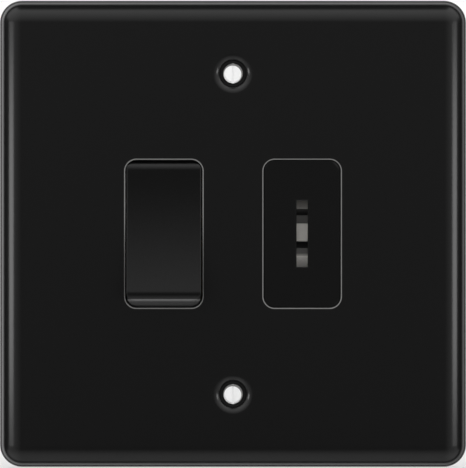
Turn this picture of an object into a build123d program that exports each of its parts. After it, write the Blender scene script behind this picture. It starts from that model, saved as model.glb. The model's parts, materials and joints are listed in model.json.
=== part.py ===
from build123d import *
import os
from math import asin, cos, radians, sin, sqrt

# A one-gang grid switch plate with two modules behind it: a rocker switch on the left and a
# key-operated switch on the right. Both are two-way switches with the same works: the rocker's
# sprung plunger throws a blade that rocks on the common terminal from one fixed contact to the other.
# +X is to the right, +Z is up, the front faces -Y and the wall is the plane y = 0. The origin is the
# middle of the plate, on the wall. Lengths are millimetres and angles are degrees.

# The front plate, pressed from sheet
plate_side = 88.0
plate_edge_roll = 4.2        # radius of the rolled edge, and so of the drawn corners
plate_rim = 0.6              # straight edge between the roll and the wall
plate_sheet = 0.9
aperture_width = 14.5
aperture_height = 27.8
aperture_corner = 2.1
aperture_edge = 0.25         # chamfer of each aperture's front edge
fixing_centres = 60.3        # plate screws one above the other, box screws side by side

# The plate screws and the dimples that sink them
plate_screw_shank = 2.5
plate_screw_head = 3.8
plate_screw_cone = 0.6       # depth of the countersunk cone
plate_screw_crown = 0.65     # height of the raised head over its seat
plate_screw_flat = 3.1       # flat top of the head
plate_screw_tail = 1.0       # how far the tip passes the tapped boss
screw_slot_width = 0.5
screw_slot_depth = 0.45
dimple_width = 7.6
dimple_depth = 0.9           # from the plate's face to the seat of the head
dimple_well = 4.7            # floor of the dimple, round the head

# The grid frame behind the plate
frame_side = 74.0
frame_sheet = 1.2
frame_corner = 3.0
frame_lip = 1.8              # turned-up edges at the top and bottom
frame_bend = 1.0             # outside radius of their bends
frame_window_gap = 0.3       # all round a module's body
frame_boss = 5.2
frame_boss_length = 4.0
box_hole = 4.1               # clears the box's 3.5 mm screws

# The earth terminal, staked to the frame by a square tenon
earth_x = -22.0
earth_z = -27.5
earth_width = 7.0
earth_height = 6.4
earth_depth = 7.4
earth_bore_back = 3.6        # from the frame's back to the middle of the wire bore
tenon = 3.0
tenon_head = 4.2
tenon_head_height = 0.6

# A module's covers and housings
flange_gap = 0.4             # between the two modules' flanges
flange_height = 44.0
flange_thickness = 1.8
flange_corner = 1.0
module_gap = 2.5             # between the two modules' bodies
body_side_gap = 1.3          # between a cover's cheeks and the housing's side walls
body_end_gap = 0.74          # between a cover's inner ends and the housing's end walls
body_back = 24.0             # from the wall to the housing's back
body_corner = 0.8
parting_line = 3.0           # from the wall to the joint of cover and housing
shell_wall = 1.4
clip_width = 6.0
clip_reach = 0.9
clip_length = 1.6
wire_entry = 5.0             # square openings for the wires
wire_entry_flare = 0.6
rib = 1.2
rib_gap = 0.15

# What both rockers have
pivot_depth = 6.0            # from the plate's face back to the pins
tilt = 5.0                   # each way from the middle; at rest the bottom stands out
pin = 2.4
pin_wall = 1.0
pin_engagement = 1.6
cheek = 1.8                  # walls that carry the pins
cheek_back = 3.0             # from the pins back to the end of the cheeks
stem = 5.0                   # square, as are its bore and the plunger
stem_back = 5.2              # from the pins back to the end of the stem
bore = 3.4
bore_front = 0.6             # from the pins forward to the bore's blind end
running_clearance = 0.05     # all round pins, plungers, shanks and the blade's rib

# The rocker of the rocker module
rocker_gap = 0.25            # between the rocker and the plate's aperture, pressed in
rocker_sweep_gap = 0.15      # between its curved ends and the plate's back edge
rocker_cover_gap = 0.4       # between its curved ends and the cover
rocker_wall = 1.3
rocker_dish = 0.9            # hollow of its front face
rocker_skirt = 1.6           # from the pins forward to the rear edge of the skirt
rocker_draw = 0.1            # how much its ends draw in towards the skirt
rocker_edge = 0.35
rocker_web = 1.2

# The key module's boss, slot and rocker
boss_gap = 0.2               # between the boss and the plate's aperture
key_slot_width = 2.1
key_slot_height = 12.5
key_slot_edge = 0.15
key_side_gap = 0.3
key_front = 3.3              # from the pins forward to the crown
key_front_radius = 14.0
key_height = 17.0
key_back = 1.6
pocket_pitch = 6.2
pocket_height = 2.8
pocket_width = 3.4
pocket_well = 1.15           # the deep upper part of each pocket
pocket_well_depth = 2.1
pocket_ledge_depth = 1.1

# The plunger and its spring
plunger_reach = 8.0          # from the pins back to the tip
plunger_head = 2.6           # from the pins back to the shoulder that the spring bears on
plunger_tip_radius = 1.8
plunger_spigot = 1.5
plunger_spigot_length = 0.8
spring_outside = 3.0
spring_wire = 0.36           # flat on the outside, as wound for a close bore
spring_turns = 3.0

# The rocking blade and the contacts
blade_offset = 10.0          # from the pins back to the blade's own pivot
blade_swing = 8.0            # each way; at rest the lower end lies back
blade_length = 22.0
blade_width = 6.0
blade_sheet = 1.0
blade_rib = 1.8
contact_place = 9.5          # from the blade's pivot to each moving tip
contact_side = 3.0           # of each moving tip, cut from domed profile wire
contact_height = 0.8
contact_dome = 4.0
fixed_tip_side = 3.4
fixed_tip_height = 0.7

# The terminals
strip = 1.0
strip_margin = 0.6           # of strip beside a fixed tip
block_width = 6.4
block_height = 6.4
block_offset = 5.8           # of the two lower blocks from the module's middle
block_step = 1.0             # how far the common block stands behind the strips
wire_bore = 4.2
clamp_screw = 3.4
clamp_screw_stand = 1.0      # how far a backed-off screw stands out of its block
clamp_back_off = 0.1         # the screws are backed off to clear the wire bores
clamp_slot = 0.8
screw_access_gap = 0.6       # all round a screw, in the housing's back
bridge_height = 6.0
fulcrum_height = 3.2
fulcrum_cheek = 1.0
fulcrum_lip = 0.6            # how far the cheeks reach in front of the blade's pivot
fulcrum_trough = 0.3         # how far the trough's edge lies behind it

# Places that follow from these
plate_depth = plate_rim + plate_edge_roll
face_y = -plate_depth
sheet_back_y = face_y + plate_sheet
seat_y = face_y + dimple_depth
frame_front_y = -frame_sheet
flange_front_y = frame_front_y - flange_thickness
pivot_y = face_y + pivot_depth
cheek_back_y = pivot_y + cheek_back
blade_y = pivot_y + blade_offset
inner_back_y = body_back - shell_wall
sweep_radius = sqrt((aperture_height / 2 - rocker_sweep_gap) ** 2 + (pivot_depth - plate_sheet) ** 2)
opening_width = aperture_width
opening_height = 2 * (sweep_radius + rocker_cover_gap)
body_width = opening_width + 2 * (cheek + body_side_gap + shell_wall)
body_height = opening_height + 2 * (cheek + body_end_gap + shell_wall)
module_pitch = body_width + module_gap
module_x = module_pitch / 2
fixing = fixing_centres / 2
hole_gap = 2 * running_clearance
through = 2 * body_back      # longer than anything that is cut through


def facing(x, y):
    """Plane parallel to the wall, seen from the front: local x right, y up, z towards the front."""
    return Plane(origin=(x, y, 0), x_dir=(1, 0, 0), z_dir=(0, -1, 0))


def from_behind(x, y, z):
    """Plane parallel to the wall, through any point: local z runs back into the wall."""
    return Plane(origin=(x, y, z), x_dir=(1, 0, 0), z_dir=(0, 1, 0))


def looking_up(x, y, z):
    """Level plane: local x right, local y towards the wall and beyond, local z up."""
    return Plane(origin=(x, y, z), x_dir=(1, 0, 0), z_dir=(0, 0, 1))


def side_on(x, y, angle):
    """Plane square to a pivot at (x, y): local x runs up the tilted piece, local y towards its front."""
    up = (0, -sin(radians(angle)), cos(radians(angle)))
    return Plane(origin=(x, y, 0), x_dir=up, z_dir=(1, 0, 0))


def down_the_stem(x, angle):
    """Plane square to a tilted stem, at the pins: local z runs to the front of the rocker."""
    front = (0, -cos(radians(angle)), -sin(radians(angle)))
    return Plane(origin=(x, pivot_y, 0), x_dir=(1, 0, 0), z_dir=front)


def save(piece, name):
    """Labels a finished piece and writes it as one file."""
    piece.part.label = name
    export_step(piece.part, f"parts/{name}.step")


os.makedirs("parts", exist_ok=True)

# The hollow behind the plate: the plate's own outline, one sheet smaller all round
with BuildPart() as plate_hollow:
    with BuildSketch(facing(0, 0)):
        inner_side = plate_side - 2 * plate_sheet
        RectangleRounded(inner_side, inner_side, plate_edge_roll - plate_sheet)
    extrude(amount=plate_depth - plate_sheet)
    fillet(plate_hollow.faces().sort_by(Axis.Y)[0].edges(), plate_edge_roll - plate_sheet)

# One dimple, as the tool that presses and pierces it: flared wall, seat, countersink and hole
with BuildPart() as dimple_tool:
    with BuildSketch(Plane.XY):
        with BuildLine():
            lip = (dimple_width / 2, face_y)
            seat_edge = (plate_screw_head / 2 + running_clearance, seat_y)
            hole_edge = (plate_screw_shank / 2 + hole_gap, seat_y + plate_screw_cone)
            Line((0, face_y - plate_sheet), (lip[0], face_y - plate_sheet))
            Line((lip[0], face_y - plate_sheet), lip)
            TangentArc(lip, (dimple_well / 2, seat_y), tangent=(-1, 0))
            Line((dimple_well / 2, seat_y), seat_edge)
            Line(seat_edge, hole_edge)
            Line(hole_edge, (hole_edge[0], 0))
            Line((hole_edge[0], 0), (0, 0))
            Line((0, 0), (0, face_y - plate_sheet))
        make_face()
    revolve(axis=Axis.Y)

with BuildPart() as front_plate:
    with BuildSketch(facing(0, 0)):
        RectangleRounded(plate_side, plate_side, plate_edge_roll)
    extrude(amount=plate_depth)
    fillet(front_plate.faces().sort_by(Axis.Y)[0].edges(), plate_edge_roll)
    add(plate_hollow.part, mode=Mode.SUBTRACT)
    with BuildSketch(facing(0, 0)):
        with Locations((-module_x, 0), (module_x, 0)):
            RectangleRounded(aperture_width, aperture_height, aperture_corner)
    extrude(amount=through, mode=Mode.SUBTRACT)
    plate_face = front_plate.faces().filter_by(Plane.XZ).sort_by(Axis.Y)[0]
    chamfer([edge for wire in plate_face.inner_wires() for edge in wire.edges()], aperture_edge)
    with BuildSketch(facing(0, seat_y + plate_sheet)):
        with Locations((0, fixing), (0, -fixing)):
            Circle(dimple_well / 2 + plate_sheet)
    extrude(amount=dimple_depth + plate_sheet / 2)
    with Locations((0, 0, fixing), (0, 0, -fixing)):
        add(dimple_tool.part, mode=Mode.SUBTRACT)
save(front_plate, "front_plate")

# The two plate screws: cone, rim, raised flat crown and slot, with the thread left plain
with BuildPart() as one_plate_screw:
    with BuildSketch(Plane.XY):
        with BuildLine():
            head = plate_screw_head / 2
            shank = plate_screw_shank / 2
            tip_y = frame_boss_length + plate_screw_tail
            crown_y = seat_y - plate_screw_crown
            rim_y = seat_y - plate_screw_crown / 3
            Line((0, tip_y), (shank, tip_y))
            Line((shank, tip_y), (shank, seat_y + plate_screw_cone))
            Line((shank, seat_y + plate_screw_cone), (head, seat_y))
            Line((head, seat_y), (head, rim_y))
            Line((head, rim_y), (plate_screw_flat / 2, crown_y))
            Line((plate_screw_flat / 2, crown_y), (0, crown_y))
            Line((0, crown_y), (0, tip_y))
        make_face()
    revolve(axis=Axis.Y)
    with BuildSketch(facing(0, crown_y + screw_slot_depth)):
        Rectangle(screw_slot_width, 2 * plate_screw_head)
    extrude(amount=plate_screw_crown, mode=Mode.SUBTRACT)

with BuildPart() as plate_screws:
    with Locations((0, 0, fixing), (0, 0, -fixing)):
        add(one_plate_screw.part)
save(plate_screws, "plate_screws")

# The grid frame: a flat sheet with two windows, turned-up edges, tapped bosses and box holes
with BuildPart() as grid_frame:
    with BuildSketch(facing(0, 0)):
        RectangleRounded(frame_side, frame_side, frame_corner)
        with Locations((-module_x, 0), (module_x, 0)):
            Rectangle(
                body_width + 2 * frame_window_gap,
                body_height + 2 * frame_window_gap,
                mode=Mode.SUBTRACT,
            )
        with Locations((-fixing, 0), (fixing, 0)):
            Circle(box_hole / 2, mode=Mode.SUBTRACT)
        with Locations((earth_x, earth_z)):
            Rectangle(tenon + hole_gap, tenon + hole_gap, mode=Mode.SUBTRACT)
    extrude(amount=frame_sheet)
    with BuildSketch(facing(0, 0)):
        with Locations((0, (frame_side - frame_sheet) / 2), (0, (frame_sheet - frame_side) / 2)):
            Rectangle(frame_side - 2 * frame_corner, frame_sheet)
    extrude(amount=frame_sheet + frame_lip)
    for top in (1, -1):
        with BuildSketch(Plane(origin=(0, 0, 0), x_dir=(0, 0, top), z_dir=(top, 0, 0))):
            edge = frame_side / 2
            with BuildLine():
                CenterArc((edge - frame_bend, frame_bend), frame_bend, start_angle=-90, arc_size=90)
                Line((edge, frame_bend), (edge, 0))
                Line((edge, 0), (edge - frame_bend, 0))
            make_face()
        extrude(amount=edge - frame_corner, both=True, mode=Mode.SUBTRACT)
    with BuildSketch(facing(0, frame_boss_length)):
        with Locations((0, fixing), (0, -fixing)):
            Circle(frame_boss / 2)
    extrude(amount=frame_boss_length)
    with BuildSketch(facing(0, through / 2)):
        with Locations((0, fixing), (0, -fixing)):
            Circle(plate_screw_shank / 2 + running_clearance)
    extrude(amount=through, mode=Mode.SUBTRACT)
save(grid_frame, "grid_frame")


def clamp_screw_part(x, z, bore_y, back_y):
    """One headless clamp screw, driven from behind and backed off clear of the wire bore."""
    tip_y = bore_y + wire_bore / 2 + clamp_back_off
    end_y = back_y + clamp_screw_stand
    with BuildPart() as screw:
        with BuildSketch(from_behind(x, tip_y, z)):
            Circle(clamp_screw / 2)
        extrude(amount=end_y - tip_y)
        with BuildSketch(from_behind(x, end_y - clamp_screw_stand / 2, z)):
            Rectangle(2 * clamp_screw, clamp_slot)
        extrude(amount=clamp_screw_stand, mode=Mode.SUBTRACT)
    return screw.part


# The earth terminal: a brass block with a wire bore, its tenon spread in front of the frame
with BuildPart() as earth_terminal:
    with BuildSketch(facing(0, 0)):
        with Locations((earth_x, earth_z)):
            Rectangle(earth_width, earth_height)
    extrude(amount=-earth_depth)
    with BuildSketch(facing(0, 0)):
        with Locations((earth_x, earth_z)):
            Rectangle(tenon, tenon)
    extrude(amount=frame_sheet)
    with BuildSketch(facing(0, frame_front_y)):
        with Locations((earth_x, earth_z)):
            Rectangle(tenon_head, tenon_head)
    extrude(amount=tenon_head_height)
    with BuildSketch(Plane(origin=(earth_x, earth_bore_back, earth_z), z_dir=(1, 0, 0))):
        Circle(wire_bore / 2)
    extrude(amount=earth_width, both=True, mode=Mode.SUBTRACT)
    with BuildSketch(from_behind(earth_x, earth_bore_back, earth_z)):
        Circle(clamp_screw / 2 + running_clearance)
    extrude(amount=earth_depth, mode=Mode.SUBTRACT)
save(earth_terminal, "earth_terminal")

with BuildPart() as earth_screw:
    add(clamp_screw_part(earth_x, earth_z, earth_bore_back, earth_depth))
save(earth_screw, "earth_screw")

# The rocker's side outline, about its pins. Pressed in, its corner lies flush in the aperture; the
# ends draw in behind the corner, which clears the back edge of the plate all the way.
turn = radians(tilt)
corner_up = aperture_height / 2 - rocker_gap
heel_radius = sweep_radius - rocker_draw
rocker_corner = (
    corner_up * cos(turn) - pivot_depth * sin(turn),
    corner_up * sin(turn) + pivot_depth * cos(turn),
)
rocker_heel = (sqrt(heel_radius**2 - rocker_skirt**2), rocker_skirt)
rocker_dish_front = rocker_corner[1] - rocker_dish
rocker_width = aperture_width - 2 * rocker_gap


def other(point):
    """The same point on the lower half of a rocker."""
    return (-point[0], point[1])


def add_stem(x, front):
    """Stem of a rocker, from its front wall back to its open end."""
    with BuildSketch(down_the_stem(x, -tilt).offset(-stem_back)) as section:
        Rectangle(stem, stem)
    extrude(section.sketch, amount=stem_back + front)


def bore_stem(x):
    """Blind bore up the stem, for the spring and the plunger."""
    with BuildSketch(down_the_stem(x, -tilt).offset(-stem_back)) as section:
        Rectangle(bore, bore)
    extrude(section.sketch, amount=stem_back + bore_front, mode=Mode.SUBTRACT)


with BuildPart() as rocker:
    rocker_side = side_on(-module_x, pivot_y, -tilt)
    with BuildSketch(rocker_side):
        with BuildLine():
            ThreePointArc(other(rocker_corner), (0, rocker_dish_front), rocker_corner)
            Line(rocker_corner, rocker_heel)
            Line(rocker_heel, other(rocker_heel))
            Line(other(rocker_heel), other(rocker_corner))
        make_face()
    extrude(amount=rocker_width / 2, both=True)
    ends = rocker.faces().filter_by(GeomType.PLANE).group_by(Axis.X)[1]
    end_sides = ends.sort_by(Axis.Z)[0].edges() + ends.sort_by(Axis.Z)[-1].edges()
    fillet(end_sides.filter_by(Axis.X, reverse=True), aperture_corner - rocker_gap)
    dish_face = rocker.faces().filter_by(GeomType.CYLINDER).sort_by(SortBy.AREA)[-1]
    chamfer(dish_face.edges(), rocker_edge)
    with BuildSketch(rocker_side):
        Circle(pin / 2 + pin_wall)
        with Locations((0, rocker_skirt / 2)):
            Rectangle(pin + 2 * pin_wall, rocker_skirt)
    extrude(amount=rocker_width / 2, both=True)
    with BuildSketch(rocker_side):
        Circle(pin / 2)
    extrude(amount=rocker_width / 2 + rocker_gap + pin_engagement, both=True)
    with BuildSketch(rocker_side):
        with BuildLine():
            inner_corner = (rocker_corner[0] - rocker_wall, rocker_corner[1] - rocker_wall)
            inner_heel = (rocker_heel[0] - rocker_wall, 0)
            inner_back = -pin / 2 - pin_wall - rocker_wall
            ThreePointArc(other(inner_corner), (0, rocker_dish_front - rocker_wall), inner_corner)
            Line(inner_corner, inner_heel)
            Line(inner_heel, (inner_heel[0], inner_back))
            Line((inner_heel[0], inner_back), (-inner_heel[0], inner_back))
            Line((-inner_heel[0], inner_back), other(inner_heel))
            Line(other(inner_heel), other(inner_corner))
        make_face()
    extrude(amount=rocker_width / 2 - rocker_wall, both=True, mode=Mode.SUBTRACT)
    with BuildSketch(rocker_side):
        with Locations((0, (rocker_dish_front - rocker_wall / 2 - pin / 2 - pin_wall) / 2)):
            Rectangle(rocker_web, rocker_dish_front - rocker_wall / 2 + pin / 2 + pin_wall)
    extrude(amount=(rocker_width - rocker_wall) / 2, both=True)
    add_stem(-module_x, rocker_dish_front - rocker_wall / 2)
    bore_stem(-module_x)
save(rocker, "rocker")

# The key rocker: a cast bar with a crowned front, and two stepped pockets for the key's prongs
boss_width = aperture_width - 2 * boss_gap
boss_height = aperture_height - 2 * boss_gap
key_width = boss_width - 2 * cheek - 2 * key_side_gap
key_end = key_front - (key_front_radius - sqrt(key_front_radius**2 - (key_height / 2) ** 2))
with BuildPart() as key_rocker:
    key_side = side_on(module_x, pivot_y, -tilt)
    with BuildSketch(key_side):
        with BuildLine():
            ThreePointArc((-key_height / 2, key_end), (0, key_front), (key_height / 2, key_end))
            Line((key_height / 2, key_end), (key_height / 2, -key_back))
            Line((key_height / 2, -key_back), (-key_height / 2, -key_back))
            Line((-key_height / 2, -key_back), (-key_height / 2, key_end))
        make_face()
        Circle(pin / 2 + pin_wall)
    extrude(amount=key_width / 2, both=True)
    with BuildSketch(key_side):
        Circle(pin / 2)
    extrude(amount=key_width / 2 + key_side_gap + pin_engagement, both=True)
    add_stem(module_x, 0)
    bore_stem(module_x)
    with BuildSketch(key_side):
        for middle in (-pocket_pitch / 2, pocket_pitch / 2):
            top = middle + pocket_height / 2
            with Locations((top - pocket_well / 2, key_front)):
                Rectangle(pocket_well, 2 * pocket_well_depth)
            with Locations((middle, key_front)):
                Rectangle(pocket_height, 2 * pocket_ledge_depth)
    extrude(amount=pocket_width / 2, both=True, mode=Mode.SUBTRACT)
save(key_rocker, "key_rocker")


def add_cover_body(x):
    """Flange in front of the frame, skirt through its window and the clips that catch behind it."""
    with BuildSketch(facing(x, frame_front_y)) as flange:
        RectangleRounded(module_pitch - flange_gap, flange_height, flange_corner)
    extrude(flange.sketch, amount=flange_thickness)
    with BuildSketch(facing(x, parting_line)) as skirt:
        Rectangle(body_width, body_height)
        Rectangle(body_width - 2 * shell_wall, body_height - 2 * shell_wall, mode=Mode.SUBTRACT)
    extrude(skirt.sketch, amount=parting_line + frame_sheet)
    for top in (1, -1):
        with BuildSketch(Plane(origin=(x, 0, 0), x_dir=(0, 0, top), z_dir=(1, 0, 0))) as clip:
            with BuildLine():
                root = body_height / 2
                Polyline((root, 0), (root + clip_reach, 0), (root, -clip_length * top), (root, 0))
            make_face()
        extrude(clip.sketch, amount=clip_width / 2, both=True)


def bore_pins(x, y, reach):
    """Holes for a rocker's pins, through both cheeks."""
    with BuildSketch(side_on(x, y, 0)) as hole:
        Circle(pin / 2 + running_clearance)
    extrude(hole.sketch, amount=reach, both=True, mode=Mode.SUBTRACT)


# The rocker module's cover: its opening takes the whole rocker, between two cheeks
with BuildPart() as rocker_cover:
    add_cover_body(-module_x)
    with BuildSketch(facing(-module_x, cheek_back_y)):
        Rectangle(opening_width + 2 * cheek, opening_height + 2 * cheek)
    extrude(amount=cheek_back_y - frame_front_y)
    with BuildSketch(facing(-module_x, through / 2)):
        Rectangle(opening_width, opening_height)
    extrude(amount=through, mode=Mode.SUBTRACT)
    bore_pins(-module_x, pivot_y, opening_width / 2 + cheek)
save(rocker_cover, "rocker_cover")

# The key module's cover: a boss that fills the plate's aperture, with the key slot in its face
with BuildPart() as key_cover:
    add_cover_body(module_x)
    with BuildSketch(facing(module_x, cheek_back_y)):
        RectangleRounded(boss_width, boss_height, aperture_corner - boss_gap)
    extrude(amount=cheek_back_y - face_y)
    with BuildSketch(facing(module_x, cheek_back_y)):
        Rectangle(boss_width - 2 * cheek, boss_height - 2 * cheek)
    extrude(amount=cheek_back_y - face_y - cheek, mode=Mode.SUBTRACT)
    with BuildSketch(facing(module_x, 0)):
        Rectangle(key_slot_width, key_slot_height)
    extrude(amount=through, mode=Mode.SUBTRACT)
    boss_face = key_cover.faces().filter_by(Plane.XZ).sort_by(Axis.Y)[0]
    chamfer(boss_face.inner_wires()[0].edges(), key_slot_edge)
    bore_pins(module_x, pivot_y, boss_width / 2)
save(key_cover, "key_cover")

# Where the blade's tips meet the fixed ones, with the blade at the end of its swing
swing = radians(blade_swing)
blade_front = blade_offset - plunger_reach - running_clearance
blade_back = blade_front - blade_sheet
dome_centre = blade_back - contact_height + contact_dome
contact_z = contact_place * cos(swing) + dome_centre * sin(swing)
contact_y = blade_y + contact_place * sin(swing) - dome_centre * cos(swing) + contact_dome
fixed_tip_y = contact_y + running_clearance
strip_front_y = fixed_tip_y + fixed_tip_height
strip_back_y = strip_front_y + strip
common_front_y = strip_back_y + block_step
bore_y = (common_front_y + inner_back_y) / 2
block_z = body_height / 2 - shell_wall - block_height / 2


def make_housing(x, name):
    """Rear shell of a module: ribs between the terminals, wire entries and screw access holes."""
    with BuildPart() as housing:
        with BuildSketch(facing(x, body_back)):
            RectangleRounded(body_width, body_height, body_corner)
        extrude(amount=body_back - parting_line)
        with BuildSketch(facing(x, inner_back_y)):
            Rectangle(body_width - 2 * shell_wall, body_height - 2 * shell_wall)
        extrude(amount=inner_back_y - parting_line, mode=Mode.SUBTRACT)
        rib_x = block_width / 2 + rib_gap + rib / 2
        with BuildSketch(facing(x, inner_back_y)):
            with Locations((-rib_x, block_z), (rib_x, block_z), (0, -block_z)):
                Rectangle(rib, block_height)
        extrude(amount=inner_back_y - common_front_y)
        for block_x, end in ((0, 1), (-block_offset, -1), (block_offset, -1)):
            with BuildSketch(looking_up(x + block_x, bore_y, end * body_height / 2)):
                Rectangle(wire_entry, wire_entry)
            extrude(amount=-end * shell_wall, mode=Mode.SUBTRACT)
            with BuildSketch(facing(x + block_x, body_back)):
                with Locations((0, end * block_z)):
                    Circle(clamp_screw / 2 + screw_access_gap)
            extrude(amount=shell_wall, mode=Mode.SUBTRACT)
        ends = housing.faces().filter_by(Plane.XY).sort_by(Axis.Z)
        entries = ends[0].inner_wires() + ends[-1].inner_wires()
        chamfer([edge for entry in entries for edge in entry.edges()], wire_entry_flare)
    save(housing, name)


def add_block(x, z, front_y):
    """Terminal block, against the housing's end and back walls."""
    with BuildSketch(facing(x, inner_back_y)) as block:
        with Locations((0, z)):
            Rectangle(block_width, block_height)
    extrude(block.sketch, amount=inner_back_y - front_y)


def bore_block(x, z):
    """Wire bore along Z and the threaded hole of the clamp screw, from behind."""
    with BuildSketch(looking_up(x, bore_y, z)) as wire_way:
        Circle(wire_bore / 2)
    extrude(wire_way.sketch, amount=block_height, both=True, mode=Mode.SUBTRACT)
    with BuildSketch(facing(x, inner_back_y)) as thread:
        with Locations((0, z)):
            Circle(clamp_screw / 2 + running_clearance)
    extrude(thread.sketch, amount=inner_back_y - bore_y, mode=Mode.SUBTRACT)


def make_line_terminal(x, block_x, end, name):
    """Terminal of one fixed contact: block and strip in one, up to the blade's end."""
    tip_end = fixed_tip_side / 2 + strip_margin
    low_x = min(block_x - block_width / 2, -tip_end)
    high_x = max(block_x + block_width / 2, tip_end) if block_x == 0 else tip_end
    near_z = contact_z - tip_end
    with BuildPart() as terminal:
        with BuildSketch(facing(x, strip_back_y)):
            with Locations(((low_x + high_x) / 2, end * (near_z + block_z) / 2)):
                Rectangle(high_x - low_x, block_z - near_z)
        extrude(amount=strip)
        add_block(x + block_x, end * block_z, strip_front_y)
        bore_block(x + block_x, end * block_z)
    save(terminal, name)


def make_common_terminal(x, name):
    """Block, riser and bridge to the fulcrum, with the trough that the blade's rib rocks in."""
    block_right = block_offset + block_width / 2
    fulcrum_half = blade_width / 2 + 2 * running_clearance + fulcrum_cheek
    riser_left = fulcrum_half
    with BuildPart() as terminal:
        add_block(x + block_offset, -block_z, common_front_y)
        with BuildSketch(facing(x, common_front_y + strip)):
            with Locations(((riser_left + block_right) / 2, (bridge_height / 2 - block_z) / 2)):
                Rectangle(block_right - riser_left, bridge_height / 2 + block_z)
            with Locations(((block_right - fulcrum_half) / 2, 0)):
                Rectangle(block_right + fulcrum_half, bridge_height)
        extrude(amount=strip)
        with BuildSketch(facing(x, common_front_y + strip)):
            Rectangle(2 * fulcrum_half, fulcrum_height)
        extrude(amount=common_front_y + strip - blade_y + fulcrum_lip)
        with BuildSketch(facing(x, blade_y + fulcrum_trough)):
            Rectangle(blade_width + 4 * running_clearance, fulcrum_height)
        extrude(amount=through, mode=Mode.SUBTRACT)
        with BuildSketch(side_on(x, blade_y, 0)):
            Circle(blade_rib / 2 + running_clearance)
        extrude(amount=blade_width / 2 + 2 * running_clearance, both=True, mode=Mode.SUBTRACT)
        bore_block(x + block_offset, -block_z)
    save(terminal, name)


def make_blade(x, name):
    """Contact blade: flat strip with a half-round rib behind its middle."""
    with BuildPart() as blade:
        with BuildSketch(side_on(x, blade_y, blade_swing)):
            with Locations((0, blade_front - blade_sheet / 2)):
                Rectangle(blade_length, blade_sheet)
            Circle(blade_rib / 2)
            with Locations((0, blade_back / 2)):
                Rectangle(blade_rib, blade_back)
        extrude(amount=blade_width / 2, both=True)
        corners = [edge for edge in blade.edges() if abs(edge.length - blade_sheet) < blade_sheet / 100]
        fillet(corners, blade_width / 5)
    save(blade, name)


def make_blade_tips(x, name):
    """Two domed tips, cut from profile wire and welded across the back of the blade."""
    half = contact_side / 2
    rim = blade_back - contact_height + contact_dome - sqrt(contact_dome**2 - half**2)
    with BuildPart() as tips:
        for place in (-contact_place, contact_place):
            with BuildSketch(side_on(x, blade_y, blade_swing)):
                with BuildLine():
                    crown = (place, blade_back - contact_height)
                    ThreePointArc((place - half, rim), crown, (place + half, rim))
                    Line((place + half, rim), (place + half, blade_back))
                    Line((place + half, blade_back), (place - half, blade_back))
                    Line((place - half, blade_back), (place - half, rim))
                make_face()
            extrude(amount=half, both=True)
    save(tips, name)


def make_fixed_tips(x, name):
    """Two flat tips on the strips of the line terminals."""
    with BuildPart() as tips:
        with BuildSketch(facing(x, strip_front_y)):
            with Locations((0, contact_z), (0, -contact_z)):
                Rectangle(fixed_tip_side, fixed_tip_side)
        extrude(amount=fixed_tip_height)
    save(tips, name)


def make_plunger(x, name):
    """Nylon plunger: nose rounded across the blade, body that slides in the stem, spigot for the spring."""
    half = bore / 2 - running_clearance
    nose_edge = -plunger_reach + plunger_tip_radius - sqrt(plunger_tip_radius**2 - half**2)
    with BuildPart() as plunger:
        with BuildSketch(side_on(x, pivot_y, -tilt)):
            with BuildLine():
                ThreePointArc((-half, nose_edge), (0, -plunger_reach), (half, nose_edge))
                Line((half, nose_edge), (half, -plunger_head))
                Line((half, -plunger_head), (-half, -plunger_head))
                Line((-half, -plunger_head), (-half, nose_edge))
            make_face()
        extrude(amount=half, both=True)
        with BuildSketch(down_the_stem(x, -tilt).offset(-plunger_head)):
            Rectangle(plunger_spigot, plunger_spigot)
        extrude(amount=plunger_spigot_length)
    save(plunger, name)


def make_spring(x, name):
    """Coil spring between the plunger's shoulder and the end of the bore."""
    coil_radius = (spring_outside - spring_wire) / 2
    length = plunger_head + bore_front - spring_wire
    seat = down_the_stem(x, -tilt).offset(-plunger_head + spring_wire / 2)
    with BuildPart() as spring:
        with BuildLine():
            coil = Helix(
                pitch=length / spring_turns, height=length, radius=coil_radius,
                center=tuple(seat.origin), direction=tuple(seat.z_dir),
            )
        with BuildSketch(Plane(origin=coil @ 0, z_dir=coil % 0)):
            Rectangle(spring_wire, spring_wire)
        sweep(path=coil, is_frenet=True)
    save(spring, name)


def make_terminal_screws(x, name):
    """The module's three clamp screws."""
    with BuildPart() as screws:
        add(clamp_screw_part(x, block_z, bore_y, inner_back_y))
        add(clamp_screw_part(x - block_offset, -block_z, bore_y, inner_back_y))
        add(clamp_screw_part(x + block_offset, -block_z, bore_y, inner_back_y))
    save(screws, name)


# Both modules have the same works
for module, x in (("rocker", -module_x), ("key", module_x)):
    make_housing(x, f"{module}_housing")
    make_plunger(x, f"{module}_plunger")
    make_spring(x, f"{module}_spring")
    make_blade(x, f"{module}_blade")
    make_blade_tips(x, f"{module}_blade_tips")
    make_fixed_tips(x, f"{module}_fixed_tips")
    make_common_terminal(x, f"{module}_common_terminal")
    make_line_terminal(x, 0, 1, f"{module}_terminal_l1")
    make_line_terminal(x, -block_offset, -1, f"{module}_terminal_l2")
    make_terminal_screws(x, f"{module}_terminal_screws")
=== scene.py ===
# %% [markdown]
# # A key switch on a grid plate
#
# The object is a square black wall plate with two modules behind it. The left one is a rocker switch and
# the right one is switched by a flat two-pronged key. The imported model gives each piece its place, and this
# script gives each piece its skin: rolled sheet, turned screws, moulded plastic, cast metal.
# %% Load the frame and note its box
import json
from math import asin, cos, pi, radians, sin

import bmesh
import bpy
import numpy as np
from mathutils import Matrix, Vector
from mathutils.geometry import delaunay_2d_cdt

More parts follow.
